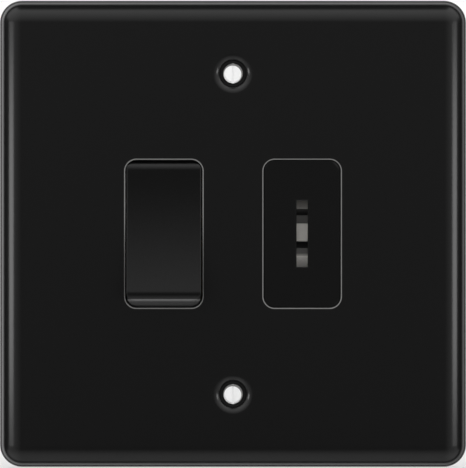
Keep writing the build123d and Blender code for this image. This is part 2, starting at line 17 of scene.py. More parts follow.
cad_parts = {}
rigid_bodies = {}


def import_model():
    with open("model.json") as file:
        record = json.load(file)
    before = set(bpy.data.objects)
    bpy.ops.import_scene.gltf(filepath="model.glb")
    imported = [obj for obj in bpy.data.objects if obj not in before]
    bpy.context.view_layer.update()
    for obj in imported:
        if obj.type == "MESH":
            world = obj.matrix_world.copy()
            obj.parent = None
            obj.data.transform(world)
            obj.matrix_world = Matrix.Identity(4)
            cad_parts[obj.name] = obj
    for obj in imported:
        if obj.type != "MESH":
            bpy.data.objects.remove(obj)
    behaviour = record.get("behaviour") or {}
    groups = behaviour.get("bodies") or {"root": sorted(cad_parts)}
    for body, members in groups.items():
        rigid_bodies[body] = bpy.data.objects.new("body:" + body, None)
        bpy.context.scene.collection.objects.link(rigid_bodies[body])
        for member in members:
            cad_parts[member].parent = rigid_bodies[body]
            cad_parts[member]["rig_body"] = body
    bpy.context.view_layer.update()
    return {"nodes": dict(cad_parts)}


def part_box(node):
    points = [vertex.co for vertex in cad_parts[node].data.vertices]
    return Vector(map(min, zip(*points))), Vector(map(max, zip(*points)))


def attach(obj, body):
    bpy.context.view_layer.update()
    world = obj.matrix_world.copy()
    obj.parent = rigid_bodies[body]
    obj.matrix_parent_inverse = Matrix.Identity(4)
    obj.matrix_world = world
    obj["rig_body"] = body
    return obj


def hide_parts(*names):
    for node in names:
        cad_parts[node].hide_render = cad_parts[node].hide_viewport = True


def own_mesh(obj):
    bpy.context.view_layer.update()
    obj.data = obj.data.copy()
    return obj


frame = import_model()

bodies = {name: o["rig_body"] for name, o in frame["nodes"].items()}


def put(name, data):
    """A new object of the scene, from its data."""
    made = bpy.data.objects.new(name, data)
    bpy.context.scene.collection.objects.link(made)
    return made


# %% [markdown]
# ## The sizes that the skins share
#
# Everything below is worked out in millimetres, as a pressing or moulding drawing would be, and turned into
# metres once, when a mesh is made. The places come from the frame where it knows them.
# %% Sizes in millimetres
mm = 0.001


def box_mm(node):
    """Lowest and highest corner of a node, in millimetres."""
    low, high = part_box(node)
    return np.array(low) / mm, np.array(high) / mm


plate_low, plate_high = box_mm("front_plate")
plate_half = plate_high[0]
plate_front = plate_low[1]
sheet = 0.9
edge_roll = 4.2
plate_rim = 0.6
housing_low, housing_high = box_mm("key_housing")
module_x = (housing_low[0] + housing_high[0]) / 2
fixing = 60.3 / 2
aperture = (7.25, 13.9)
aperture_corner = 2.1
print("plate half side", round(plate_half, 2), "front at", round(plate_front, 2))

# %% [markdown]
# ## Camera
#
# The photograph looks straight at the plate, which fills its frame: the 88 mm side takes 466.1 of the 468
# pixels. A long lens from far away keeps the sides of the plate square, as in a catalogue picture. The
# distance follows from the lens: the picture's height over the sensor is the distance over the lens.
# %% Camera
frame_px = (466, 468)
plate_px = 466.1
middle_px = (233.0, 233.8)
mm_per_px = 2 * plate_half / plate_px
lens = 400.0
sensor = 36.0
distance = lens * frame_px[1] * mm_per_px / sensor

camera = put("camera", bpy.data.cameras.new("camera"))
camera.data.lens = lens
camera.data.sensor_width = sensor
camera.data.clip_end = 10
camera.location = (
    (frame_px[0] / 2 - middle_px[0]) * mm_per_px * mm,
    -(distance + plate_rim) * mm,
    (middle_px[1] - frame_px[1] / 2) * mm_per_px * mm,
)
camera.rotation_euler = (radians(90), 0, 0)
bpy.context.scene.camera = camera
bpy.context.scene.view_settings.view_transform = "Standard"
print("camera", round(distance), "mm away")

# %% [markdown]
# ## Shader maths as Python
#
# A finish is a small network of nodes. Written as nodes it is hard to read, so one class wraps an output
# socket and gives it the usual signs: `1 - mask * 0.3` adds its Math nodes by itself. Every other node
# comes from one method, `Finish.wire`. A world is a network of the same nodes, so the same class makes it.
# %% Wire and Finish
class Wire:
    """An output socket on which + - * work, each by adding a Math node."""

    def __init__(self, finish, socket):
        self.finish, self.socket = finish, socket

    def __add__(self, other):
        return self.finish.math("ADD", self, other)

    def __sub__(self, other):
        return self.finish.math("SUBTRACT", self, other)

    def __rsub__(self, other):
        return self.finish.math("SUBTRACT", other, self)

    def __mul__(self, other):
        return self.finish.math("MULTIPLY", self, other)

    __radd__, __rmul__ = __add__, __mul__


class Finish:
    """A material being made, or a world. wire() adds a node from its type, its settings and its sockets."""

    def __init__(self, name, library="materials"):
        self.made = getattr(bpy.data, library).new(name)
        self.made.use_nodes = True
        self.tree = self.made.node_tree
        self.tree.nodes.clear()

    def wire(self, kind, settings=None, sockets=None, out=0):
        """One node: settings are set first, then each socket takes a value or a link."""
        node = self.tree.nodes.new(kind)
        for name, value in (settings or {}).items():
            setattr(node, name, value)
        for name, value in (sockets or {}).items():
            if isinstance(value, Wire):
                self.tree.links.new(value.socket, node.inputs[name])
            else:
                node.inputs[name].default_value = value
        return Wire(self, node.outputs[out]) if node.outputs else None

    def math(self, operation, first, second=0.0):
        """A Math node by its operation's name."""
        return self.wire("ShaderNodeMath", {"operation": operation}, {0: first, 1: second})

    def place(self, axis):
        """Object coordinate along one axis, in millimetres."""
        spot = self.wire("ShaderNodeTexCoord", out=3)
        return self.wire("ShaderNodeSeparateXYZ", None, {0: spot}, out="XYZ".index(axis)) * (1 / mm)

    def grain(self, size, detail, stretch=(1, 1, 1)):
        """Noise whose grains are about size millimetres across."""
        spot = self.wire("ShaderNodeTexCoord", out=3)
        scale = tuple(s / (size * mm) for s in stretch)
        spot = self.wire("ShaderNodeMapping", {"vector_type": "POINT"}, {0: spot, "Scale": scale})
        return self.wire("ShaderNodeTexNoise", None, {"Vector": spot, "Scale": 1.0, "Detail": detail})

    def ease(self, value, low, high, start=0.0, end=1.0):
        """Eases from start to end while value goes from low to high."""
        sockets = {0: value, 1: low, 2: high, 3: start, 4: end}
        return self.wire("ShaderNodeMapRange", {"interpolation_type": "SMOOTHSTEP"}, sockets)

    def fade(self, value, low, high):
        """Eases from 1 to 0 while value goes from low to high."""
        return self.ease(value, low, high, 1.0, 0.0)

    def blend(self, mask, first, second):
        """Colour that goes from first to second as mask goes from 0 to 1."""
        sockets = {0: mask, 6: first, 7: second}
        return self.wire("ShaderNodeMix", {"data_type": "RGBA"}, sockets, out=2)

    def bump(self, height, depth_mm, strength=1.0):
        """Normal of a surface that height raises by depth_mm."""
        sockets = {"Height": height, "Distance": depth_mm * mm, "Strength": strength}
        return self.wire("ShaderNodeBump", None, sockets)

    def surface(self, **sockets):
        """The shader itself. Keyword names are the socket's name with _ for a space."""
        named = {name.replace("_", " "): value for name, value in sockets.items()}
        shader = self.wire("ShaderNodeBsdfPrincipled", None, named)
        self.wire("ShaderNodeOutputMaterial", None, {0: shader})
        return self.made


def grey(value, warm=0.0):
    """A grey colour; warm above 0 takes some blue away."""
    return (value * (1 + warm / 2), value, value * (1 - warm), 1)


print("Wire and Finish are ready")

# %% [markdown]
# ## Light, world and floor
#
# The object is black, so it shows little but reflections, and they follow the law of mirrors: where the
# sheet leans by an angle, it shows what stands at twice that angle off the camera's axis. The room could be
# built of walls and cards. It is a world of directions instead, because a direction is all that a mirror
# image of something far away depends on, and each part of the room is then a mask on where a ray points.
# %% World
# Each pair says where a part of the room starts to change and where it has changed, along x, y or z.
overhead = (0.90, 0.985)
underfoot = (-0.90, -0.30)
underfoot_ends = (-0.02, 0.22)
far_aside = (0.90, 0.98)
room_ends = (-0.05, 0.15)
band_starts, band_ends = (0.26, 0.44), (0.56, 0.73)
band_left, band_right, band_low = 1.45, 0.7, 0.65
left_to_right, low_to_level = (-0.9, 0.9), (-0.9, 0.2)
straight_behind = (0.78, 0.90)


def fill_world(level, front, top, bottom, sides, band, behind):
    """White to the camera, level to matt surfaces, and to glossy rays a room and a band of light.

    A direction is (x, y, z), with y away from the camera. The room is front, plus top times z, plus bottom
    under the horizon, plus sides times x, and it ends at the plate's plane. Past that a band of light draws
    the thin bright line of the plate's outline, brightest at the left. The level straight at the back is
    behind.
    """
    sky = Finish("studio", "worlds")
    bpy.context.scene.world = sky.made
    camera_ray = sky.wire("ShaderNodeLightPath", out=0)
    glossy_ray = sky.wire("ShaderNodeLightPath", out=3)
    clear_ray = sky.wire("ShaderNodeLightPath", out=6)
    towards = sky.wire("ShaderNodeTexCoord", out=0)
    x, y, z = (sky.wire("ShaderNodeSeparateXYZ", None, {0: towards}, out=axis) for axis in range(3))
    above = sky.math("MAXIMUM", z, 0.0) * sky.fade(z, *overhead)
    below = sky.fade(z, *underfoot) * sky.fade(y, *underfoot_ends)
    beside = sky.math("ABSOLUTE", x)
    beside = beside * sky.fade(beside, *far_aside)
    room = front + above * top + below * bottom + beside * sides
    room = room * sky.fade(y, *room_ends) + below * sky.ease(y, *room_ends) * bottom
    outline = sky.ease(y, *band_starts) * sky.fade(y, *band_ends) * band
    outline = outline * sky.ease(x, *left_to_right, band_left, band_right)
    outline = outline * sky.ease(z, *low_to_level, band_low, 1.0)
    seen = room + outline + sky.ease(y, *straight_behind) * behind
    strength = level + (camera_ray + clear_ray) * (1 - level) + glossy_ray * (seen - level)
    shader = sky.wire("ShaderNodeBackground", None, {"Color": (1, 1, 1, 1), "Strength": strength})
    sky.wire("ShaderNodeOutputWorld", None, {0: shader})


fill_world(level=0.92, front=0.03, top=1.06, bottom=0.45, sides=0.55, band=1.55, behind=0.5)
print("the world is", bpy.context.scene.world.name)

# %% [markdown]
# Two upright softboxes each draw one bright band down a rolled edge. The roll is 4.2 mm wide and the band
# lies 2.1 mm from the rim, where the sheet leans 30 degrees, so the box stands 60 degrees off the camera's
# axis. They are lamps and no masks, because lamps also light the matt pieces.
# %% Softboxes
softbox_size = (0.12, 0.08)
softbox_away = 0.30


def softbox(name, azimuth, radiance):
    """Area lamp facing the plate. Its power is radiance times pi times area, so it looks that bright."""
    lamp = bpy.data.lights.new(name, "AREA")
    lamp.shape = "RECTANGLE"
    lamp.size, lamp.size_y = softbox_size
    lamp.energy = radiance * pi * softbox_size[0] * softbox_size[1]
    box = put(name, lamp)
    towards = Vector((sin(radians(azimuth)), -cos(radians(azimuth)), 0))
    box.location = towards * softbox_away
    box.rotation_euler = (-towards).to_track_quat("-Z", "Y").to_euler()
    box.visible_camera = False
    return box


softboxes = [softbox("left_softbox", -60, 3.5), softbox("right_softbox", 60, 3.2)]
print(len(softboxes), "softboxes,", softbox_away, "m away")

# %% [markdown]
# The floor is a flat sheet under the plate's lower edge, there to take a soft shadow. The camera sees it
# half lit by itself, so it stays near white. Glossy rays pass it by, so the plate mirrors the world alone.
# The softboxes don't light it, because so low a lamp cuts a hard edge into its own pool of light.
# %% Floor
floor_z = plate_low[2] * mm
floor_half = 1.5
self_lit = 0.55


def lay_floor():
    """Flat pale sheet, half emission to the camera, half matt."""
    mesh = bpy.data.meshes.new("floor")
    sides = ((-1, -1), (1, -1), (1, 1), (-1, 1))
    mesh.from_pydata([(x * floor_half, y * floor_half, floor_z) for x, y in sides], [], [(0, 1, 2, 3)])
    floor = put("floor", mesh)
    paper = Finish("floor_paper")
    camera_ray = paper.wire("ShaderNodeLightPath", out=0)
    matt = paper.wire("ShaderNodeBsdfDiffuse", None, {"Color": grey(0.8)})
    glow = paper.wire("ShaderNodeEmission", None, {"Color": grey(1.0), "Strength": 1.0})
    mixed = paper.wire("ShaderNodeMixShader", None, {0: camera_ray * self_lit, 1: matt, 2: glow})
    paper.wire("ShaderNodeOutputMaterial", None, {0: mixed})
    mesh.materials.append(paper.made)
    floor.visible_glossy = False
    unlit = bpy.data.collections.new("not_lit_by_softboxes")
    unlit.objects.link(floor)
    unlit.collection_objects[0].light_linking.link_state = "EXCLUDE"
    for box in softboxes:
        box.light_linking.receiver_collection = unlit


lay_floor()
print("floor at", round(floor_z, 4))

# %% [markdown]
# ## The black finishes
#
# The plate is powder coated: a matt black skin with a very fine orange peel. Around each aperture the real
# plate shows an even thin light line, where the coat is thin on the pierced edge. The line is a function of
# the distance to the aperture's outline, a rectangle with round corners: outside its straight parts the
# distance is measured from the corner's centre, less the corner's radius.
# %% Distance to an aperture
def outline_distance(finish, middle_x, half_width, half_height, corner):
    """How far a point lies outside a rounded rectangle, in millimetres, the same for both modules."""
    def past(value, limit):
        return finish.math("MAXIMUM", value - limit, 0.0)

    across = finish.math("ABSOLUTE", finish.math("ABSOLUTE", finish.place("X")) - middle_x)
    up = finish.math("ABSOLUTE", finish.place("Z"))
    side = past(across, half_width - corner)
    end = past(up, half_height - corner)
    reach = finish.math("SQRT", side * side + end * end)
    return reach - corner


print("distances are ready")

# %% [markdown]
# The coat could be one flat black. Two noises give it the peel and the specks that a real coat has, the
# line is a mask on the distance, and a second mask paints shade into the wells round the screws, a duller
# black.
# %% Powder coat
line_starts, line_ends = (-0.25, -0.15), (0.19, 0.25)
line_depth = (0.35, 0.45)
# where the painted shade in the screw wells fades out
seat_shade_edge = (2.35, 2.65)


def powder_coat():
    """Matt black coat: two grains of bump, a light line along the aperture edges, painted shade in the screw
    seats.
    """
    coat = Finish("powder_coat")
    peel = coat.grain(0.35, detail=3)
    speck = coat.grain(0.08, detail=1)
    away = outline_distance(coat, module_x, *aperture, aperture_corner)
    line = coat.ease(away, *line_starts) * coat.fade(away, *line_ends)
    line = line * coat.fade(coat.place("Y") - plate_front, *line_depth)
    x, z = coat.place("X"), coat.math("ABSOLUTE", coat.place("Z")) - fixing
    # painted shade: the coat turns a duller black in the wells round the screw heads
    seat = coat.fade(coat.math("SQRT", x * x + z * z), *seat_shade_edge)
    skin = coat.blend(seat, grey(0.0066), grey(0.0005))
    colour = coat.blend(line, skin, grey(0.21, 0.02))
    rough = 0.17 + peel * 0.05 + line * 0.2 + seat * 0.4
    bumped = coat.bump(peel * 0.6 + speck * 0.4, 0.006, 0.6)
    return coat.surface(Base_Color=colour, Roughness=rough, Normal=bumped, IOR=1.5)


coat_finish = powder_coat()
print("powder coat")

# %% [markdown]
# The covers come from a spark-eroded mould, which leaves a fine even grain. It could be an image, but two
# noises do: one of the grain's size in the gloss and the height, and a wide one in the black.
# %% Cover moulding
def cover_moulding(black, roughness):
    """Black plastic with a fine even grain in the gloss and the height, and a slow drift in the colour."""
    plastic = Finish("cover_moulding")
    grain = plastic.grain(0.06, detail=2)
    drift = plastic.grain(6.0, detail=1)
    colour = plastic.blend(drift, grey(black * 0.92), grey(black * 1.08))
    rough = roughness - 0.04 + grain * 0.08
    return plastic.surface(Base_Color=colour, Roughness=rough, Normal=plastic.bump(grain, 0.004, 0.5),
                           IOR=1.49)


cover_finish = cover_moulding(0.0014, 0.28)
print("cover moulding")

# %% [markdown]
# The rocker rests with its lower end out. In the photograph its rounded edge is nearly black, then comes a
# brighter line, and below it the end face is a lighter grey. Here the line is a painted highlight, and the
# end faces are painted a lighter grey that stands for light from below.
# All are masks on how far a point lies from the middle when its end stands out, so they move with the
# rocker, and only the lower end has the line.
# %% Rocker moulding
pins_depth = 6.0
pins_y = plate_front + pins_depth
tilt = radians(5)
# where the painted highlight along the rocker's lower edge starts and ends
highlight_starts, highlight_ends = (12.20, 12.30), (12.60, 12.72)


def rocker_place(finish):
    """Up and front of a point in the rocker's own frame, which is turned about the pins by the tilt."""
    y, z = finish.place("Y"), finish.place("Z")
    return z * cos(tilt) + (y - pins_y) * sin(tilt), (pins_y - y) * cos(tilt) + z * sin(tilt)


def rocker_moulding():
    """Black plastic whose ends are painted greyer, as if lit from below, with a painted highlight along the
    lower rounded edge.
    """
    plastic = Finish("rocker_moulding")
    grain = plastic.grain(0.06, detail=2)
    up, front = rocker_place(plastic)
    away = plastic.math("ABSOLUTE", up) * cos(tilt) - front * sin(tilt)
    # painted light: both end faces are a lighter grey, standing for light from below
    lit_end = plastic.ease(away, *highlight_ends)
    # painted highlight: a bright line along the lower rounded edge only
    line = plastic.ease(away, *highlight_starts) * plastic.fade(away, *highlight_ends) * plastic.fade(up, -1, 1)
    dark = plastic.blend(lit_end, grey(0.0022), grey(0.062))
    colour = plastic.blend(line, dark, grey(0.15))
    rough = 0.24 + grain * 0.06 + lit_end * 0.2
    return plastic.surface(Base_Color=colour, Roughness=rough, Normal=plastic.bump(grain, 0.004, 0.4),
                           IOR=1.49)


rocker_finish = rocker_moulding()
print("rocker moulding")

# %% [markdown]
# ## The metals and the pale plastics
#
# Each metal has one cause for its look. Galvanised sheet has spangles, large crystals of slightly different
# grey. Drawn brass has fine lines along the bar. The plate screws in the photograph are nearly white with
# little contrast, so a mirror would be wrong for them: theirs is a pale matt ground, with a painted highlight
# on the rim and in the slot, painted shade on the right half, and a painted shadow on the slope.
# %% Metals
spangle = 2.2


def galvanised():
    """Zinc spangle: cells of Voronoi noise choose a grey and a roughness for each crystal."""
    zinc = Finish("galvanised_sheet")
    spot = zinc.wire("ShaderNodeTexCoord", out=3)
    sockets = {"Vector": spot, "Scale": 1 / (spangle * mm)}
    cell = zinc.wire("ShaderNodeTexVoronoi", {"feature": "F1"}, sockets, out=1)
    tone = zinc.wire("ShaderNodeSeparateColor", None, {0: cell}, out=0)
    fine = zinc.grain(0.15, detail=2)
    colour = zinc.blend(tone * 0.6 + fine * 0.4, grey(0.42, 0.01), grey(0.62, 0.0))
    rough = 0.34 + tone * 0.16
    return zinc.surface(Base_Color=colour, Roughness=rough, Metallic=0.9, Normal=zinc.bump(fine, 0.004, 0.4))


def drawn_metal(name, dark, light, roughness, along=(1, 1, 0.12), metallic=1.0):
    """Metal drawn or rolled in one direction: noise stretched along it, in the colour and the gloss."""
    metal = Finish(name)
    lines = metal.grain(0.12, detail=3, stretch=along)
    stain = metal.grain(2.5, detail=2)
    colour = metal.blend(lines * 0.5 + stain * 0.5, dark, light)
    rough = roughness - 0.06 + lines * 0.1 + stain * 0.05
    return metal.surface(Base_Color=colour, Roughness=rough, Metallic=metallic,
                         Normal=metal.bump(lines, 0.003, 0.5))


# the painted shadow's circle and where the painted highlight on the rim begins
shade_middle = (-0.08, -0.19)
rim_light_starts, shade_starts = (1.36, 1.46), (1.60, 1.70)


def screw_plating():
    """Near-white plating with painted light: a painted highlight on the rim and in the slot, painted shade on
    the right half, and a painted shadow in a crescent where the head slopes.

    The crescent is what lies outside a circle whose middle is off the screw's own.
    """
    plating = Finish("screw_plating")
    x, z = plating.place("X"), plating.place("Z")
    z = z - plating.ease(z, -1, 1, -fixing, fixing)
    x_off, z_off = x - shade_middle[0], z - shade_middle[1]
    out = plating.math("SQRT", x_off * x_off + z_off * z_off)
    fine = plating.grain(0.1, detail=2)
    # painted highlight: a lighter line in the slot
    slot_highlight = plating.fade(plating.math("ABSOLUTE", x), 0.16, 0.24)
    # painted shade: the right half of the head is darker
    right = plating.ease(x, -0.1, 0.1)
    tone = 1.06 - right * 0.07 + slot_highlight * 0.14 - fine * 0.03
    # painted highlight: the flat lightens towards the rim
    tone = tone + plating.ease(out, *rim_light_starts) * (1.0 - tone)
    colour = plating.blend(tone, grey(0.0), grey(1.0))
    # painted shadow: a grey crescent on the slope, outside an off-centre circle
    colour = plating.blend(plating.ease(out, *shade_starts), colour, grey(0.24, 0.01))
    return plating.surface(Base_Color=colour, Roughness=0.38 + fine * 0.08,
                           Normal=plating.bump(fine, 0.003, 0.4))


zinc_finish = galvanised()
brass_finish = drawn_metal("drawn_brass", (0.50, 0.34, 0.13, 1), (0.80, 0.60, 0.28, 1), 0.30)
blade_finish = drawn_metal("rolled_copper_alloy", (0.48, 0.24, 0.13, 1), (0.78, 0.46, 0.29, 1), 0.28)
silver_finish = drawn_metal("contact_silver", grey(0.62, 0.03), grey(0.86, 0.02), 0.32, (1, 1, 1))
spring_finish = drawn_metal("spring_wire", grey(0.32, 0.02), grey(0.55, 0.01), 0.26, (1, 1, 1))
clamp_finish = drawn_metal("zinc_plated_screw", grey(0.45, 0.10), grey(0.72, 0.06), 0.30, (1, 1, 1), 0.95)
screw_finish = screw_plating()
print("seven metals")

# %% [markdown]
# The key's rocker is die cast. Its lower land is painted lighter as if lit, its pockets get painted shade,
# and only the steps of the pockets tell them apart, so the mask is a depth: how far a point lies under the
# crown, an arc along the bar.
# %% Cast metal
crown_front, crown_radius = 3.3, 14.0
# below this height the lower land gets painted light
lit_lower_land = (-4.6, -4.4)
ledge_depth, well_depth = (0.35, 0.60), (1.30, 1.60)


def cast_metal():
    """Die-cast bar under dull plating, with painted shade by its depth under the crown and painted light on
    the lower land.

    The crown's front is its highest less up squared over twice its radius, and the depth is that less front.
    """
    cast = Finish("cast_plated_bar")
    peel = cast.grain(0.4, detail=3)
    stain = cast.grain(1.6, detail=2)
    up, front = rocker_place(cast)
    deep = crown_front - up * up * (1 / (2 * crown_radius)) - front
    land = cast.blend(stain, grey(0.58, 0.05), grey(0.76, 0.07))
    # painted light: the lower land is nearly white
    land = cast.blend(cast.fade(up, *lit_lower_land), land, grey(0.98, 0.05))
    # painted shade: darker on the pockets' steps
    ledge = cast.blend(cast.ease(deep, *ledge_depth), land, grey(0.15, 0.03))
    # painted shade: nearly black deep in the wells
    colour = cast.blend(cast.ease(deep, *well_depth), ledge, grey(0.012))
    return cast.surface(Base_Color=colour, Roughness=0.42 + peel * 0.1, Metallic=0.25,
                        Normal=cast.bump(peel, 0.01, 0.5))


cast_finish = cast_metal()
print("cast metal")

# %% [markdown]
# The housings are white mouldings and the plungers natural nylon. Plastic flows into its mould in faint
# clouds, which a wide noise in the colour gives, and the mould's grain shows in the gloss.
# %% Pale plastics
def pale_plastic(name, colour, roughness, glow=0.02):
    """White or natural plastic: faint flow clouds in the colour, an even grain in the gloss."""
    plastic = Finish(name)
    flow = plastic.grain(9.0, detail=2)
    grain = plastic.grain(0.09, detail=2)
    light = tuple(min(1, c * (1 + glow)) for c in colour) + (1,)
    dark = tuple(c * (1 - glow) for c in colour) + (1,)
    tone = plastic.blend(flow, dark, light)
    return plastic.surface(Base_Color=tone, Roughness=roughness - 0.04 + grain * 0.08,
                           Normal=plastic.bump(grain, 0.005, 0.5), IOR=1.5)


housing_finish = pale_plastic("white_moulding", (0.76, 0.75, 0.71), 0.38)
nylon_finish = pale_plastic("natural_nylon", (0.80, 0.77, 0.68), 0.45, 0.04)
print("white moulding, nylon")

# %% [markdown]
# ## Surfaces from numpy
#
# A pressed plate is one outline carried along one profile. The outline is a rounded rectangle with an
# outward direction at each point. The profile says how far to go along that direction and how deep. Their
# product is a grid of points, and a grid of points is a surface. Flat faces with holes are filled by
# triangulation.
# %% Grids
def rounded_outline(half_width, half_height, corner, steps=12, parts=(1, 1)):
    """Points of a rounded rectangle and the outward direction at each.

    A point is its corner's centre plus the corner radius times the direction, and the direction turns by a
    quarter of a circle at each corner. parts says how many pieces each end and each side is divided into.
    """
    turn = np.linspace(0, pi / 2, steps + 1) + np.arange(4)[:, None] * pi / 2
    out = np.stack([np.cos(turn), np.sin(turn)], axis=2)
    signs = np.array([[1, 1], [-1, 1], [-1, -1], [1, -1]])[:, None]
    points = signs * [half_width - corner, half_height - corner] + corner * out
    ring, ways = [], []
    for k, pieces in enumerate(parts * 2):
        share = np.arange(1, pieces)[:, None] / pieces
        ring += [points[k], points[k, -1] * (1 - share) + points[(k + 1) % 4, 0] * share]
        ways += [out[k], np.repeat(out[k, -1:], pieces - 1, axis=0)]
    return np.concatenate(ring), np.concatenate(ways)


def circle_outline(steps=64):
    """A point at the middle with every direction round it, so that a profile's reach is a radius."""
    angle = np.arange(steps) * 2 * pi / steps
    out = np.stack([np.cos(angle), np.sin(angle)], axis=1)
    return out * 0, out


def carried(points, out, profile, middle=(0, 0)):
    """Grid of an outline carried along a profile of (reach, depth) rows.

    x and z are the outline's point plus reach times its direction, and y is depth.
    """
    profile = np.array(profile, dtype=float)
    flat = points[None] + profile[:, 0, None, None] * out[None] + np.array(middle)
    depth = np.broadcast_to(profile[:, 1, None], flat.shape[:2])
    return np.stack([flat[..., 0], depth, flat[..., 1]], axis=2)


def grid_faces(rows, columns, closed=True):
    """Corner numbers of each quad of a grid, as an array; closed joins the last column to the first."""
    last = columns if closed else columns - 1
    row, column = np.meshgrid(np.arange(rows - 1), np.arange(last), indexing="ij")
    after = (column + 1) % columns
    quads = np.stack([row * columns + column, row * columns + after,
                      (row + 1) * columns + after, (row + 1) * columns + column], axis=2)
    return quads.reshape(-1, 4)


def inside(spots, loop):
    """True for each spot whose line to the right crosses the loop an odd number of times."""
    x, y = spots[:, 0, None], spots[:, 1, None]
    (x1, y1), (x2, y2) = loop.T, np.roll(loop, -1, axis=0).T
    level = np.where(y1 == y2, 1, y2 - y1)
    crosses = ((y1 > y) != (y2 > y)) & (x < x1 + (y - y1) * (x2 - x1) / level)
    return crosses.sum(axis=1) % 2 == 1


def flat_fill(loops, depth):
    """Triangles inside the first loop and outside the others, all at one depth."""
    points = np.concatenate(loops)
    starts = np.cumsum([0] + [len(loop) for loop in loops])
    edges = [(int(first + i), int(first + (i + 1) % (last - first)))
             for first, last in zip(starts[:-1], starts[1:]) for i in range(last - first)]
    flat, _, faces, *_ = delaunay_2d_cdt([Vector(p) for p in points], edges, [], 1, 1e-5)
    flat, faces = np.array([tuple(v) for v in flat]), np.array(faces)
    middles = flat[faces].mean(axis=1)
    kept = ~np.any([inside(middles, loop) for loop in loops[1:]], axis=0)
    spots = np.stack([flat[:, 0], np.full(len(flat), float(depth)), flat[:, 1]], axis=1)
    return spots, [tuple(face) for face in faces[kept].tolist()]


corner_loop, _ = rounded_outline(2, 2, 0.5)
print("a test outline has", len(corner_loop), "points and its ring fills with",
      len(flat_fill([corner_loop, corner_loop / 2], 0)[1]), "triangles")

# %% [markdown]
# Every piece ends in the same way: points that surfaces share are merged, faces are turned outwards, edges
# are softened, and the piece is hung on the body of its CAD node. A piece with surfaces of its own comes
# from `make_piece`. One whose form the frame has already is a merged copy, from `dressed`.
# %% Hanging a piece
weld_made, weld_copied = 0.002, 0.001


def opened(mesh, weld):
    """A mesh open for work, with its points merged where they are nearer than weld, in millimetres."""
    work = bmesh.new()
    work.from_mesh(mesh)
    bmesh.ops.remove_doubles(work, verts=work.verts, dist=weld * mm)
    return work


def hang(work, mesh, finish, node, edge_mm, crease):
    """Closes the work on a mesh and gives the piece its finish, soft edges and body, for its CAD node."""
    open_edges = sum(len(edge.link_faces) != 2 for edge in work.edges)
    work.to_mesh(mesh)
    work.free()
    piece = put(mesh.name, mesh)
    mesh.polygons.foreach_set("use_smooth", np.ones(len(mesh.polygons), dtype=bool))
    mesh.set_sharp_from_angle(angle=radians(crease))
    mesh.materials.clear()
    mesh.materials.append(finish)
    if edge_mm:
        soft = piece.modifiers.new("soft_edges", "BEVEL")
        soft.width, soft.segments = edge_mm * mm, 2
        soft.limit_method, soft.angle_limit = "ANGLE", radians(crease)
        soft.use_clamp_overlap = True
        soft.miter_outer = "MITER_ARC"
    weights = piece.modifiers.new("even_normals", "WEIGHTED_NORMAL")
    weights.keep_sharp = not edge_mm
    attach(piece, bodies[node])
    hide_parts(node)
    print(piece.name, len(mesh.polygons), "faces,", open_edges, "open edges")
    return piece


print("points weld within", weld_made, "mm")

# %% Making a piece
def make_piece(name, surfaces, finish, node, edge_mm=0.0, crease=40):
    """One object out of grids and filled faces: merged, faces outwards, riding its node's body.

    A grid is (points, closed); a filled face is (points, list of faces). Places are millimetres.
    """
    spots, faces, first = [], [], 0
    for points, shape in surfaces:
        if isinstance(shape, list):
            found = [tuple(i + first for i in face) for face in shape]
        else:
            found = (grid_faces(*points.shape[:2], shape) + first).tolist()
            points = points.reshape(-1, 3)
        spots.append(points)
        faces.extend(found)
        first += len(points)
    mesh = bpy.data.meshes.new(name)
    mesh.from_pydata((np.concatenate(spots) * mm).tolist(), [], faces)
    work = opened(mesh, weld_made)
    bmesh.ops.dissolve_degenerate(work, edges=work.edges, dist=weld_made * mm / 10)
    bmesh.ops.recalc_face_normals(work, faces=work.faces)
    return hang(work, mesh, finish, node, edge_mm, crease)


def dressed(node, finish, edge_mm=0.08, crease=30):
    """A copy of a CAD node's mesh, merged, with its edges softened.

    Flat triangles are joined into one face, and a face with corners that point inwards is cut into faces
    that have none, because a face round a window fills wrongly.
    """
    mesh = frame["nodes"][node].data.copy()
    mesh.name = f"{node}_skin"
    if mesh.has_custom_normals:
        mesh.normals_split_custom_set([(0, 0, 0)] * len(mesh.loops))
    work = opened(mesh, weld_copied)
    bmesh.ops.dissolve_limit(work, angle_limit=radians(0.3), verts=work.verts, edges=work.edges)
    bmesh.ops.connect_verts_concave(work, faces=work.faces)
    return hang(work, mesh, finish, node, edge_mm, crease)


print("makers are ready")

# %% [markdown]
# ## The front plate
#
# On the real object this is one pressing: 0.9 mm sheet, its edge rolled over a former, two apertures
# pierced from the front, two dimples pushed in for the screw heads. It could be a box with bevels, but then
# the roll, the wall's thickness and the dimples' soft lips would be guesses. So each is its own profile,
# and the edges where two profiles meet share their points.
# %% Plate profiles
face_y = plate_front
back_y = face_y + sheet
dimple_depth = 0.9
seat_y = face_y + dimple_depth
pierced_round = 0.25
dimple_mouth, dimple_well, dimple_boss = 3.8, 2.35, 3.25
seat_r, hole_r, cone_depth = 1.95, 1.35, 0.6


def quarter_roll(radius, reach, depth, steps=14):
    """Profile of a roll: reach goes out by radius times cosine, depth forwards by radius times sine."""
    turn = np.linspace(0, pi / 2, steps + 1)
    return np.stack([reach - radius + radius * np.cos(turn), depth - radius * np.sin(turn)], axis=1)


def dimple_profile(steps=24):
    """Arc that leaves the face level and reaches the seat: its radius is half of run over fall plus fall."""
    run, fall = dimple_mouth - dimple_well, seat_y - face_y
    radius = (run * run + fall * fall) / (2 * fall)
    turn = np.linspace(0, asin(run / radius), steps + 1)
    return np.stack([dimple_mouth - radius * np.sin(turn), face_y + radius * (1 - np.cos(turn))], axis=1)


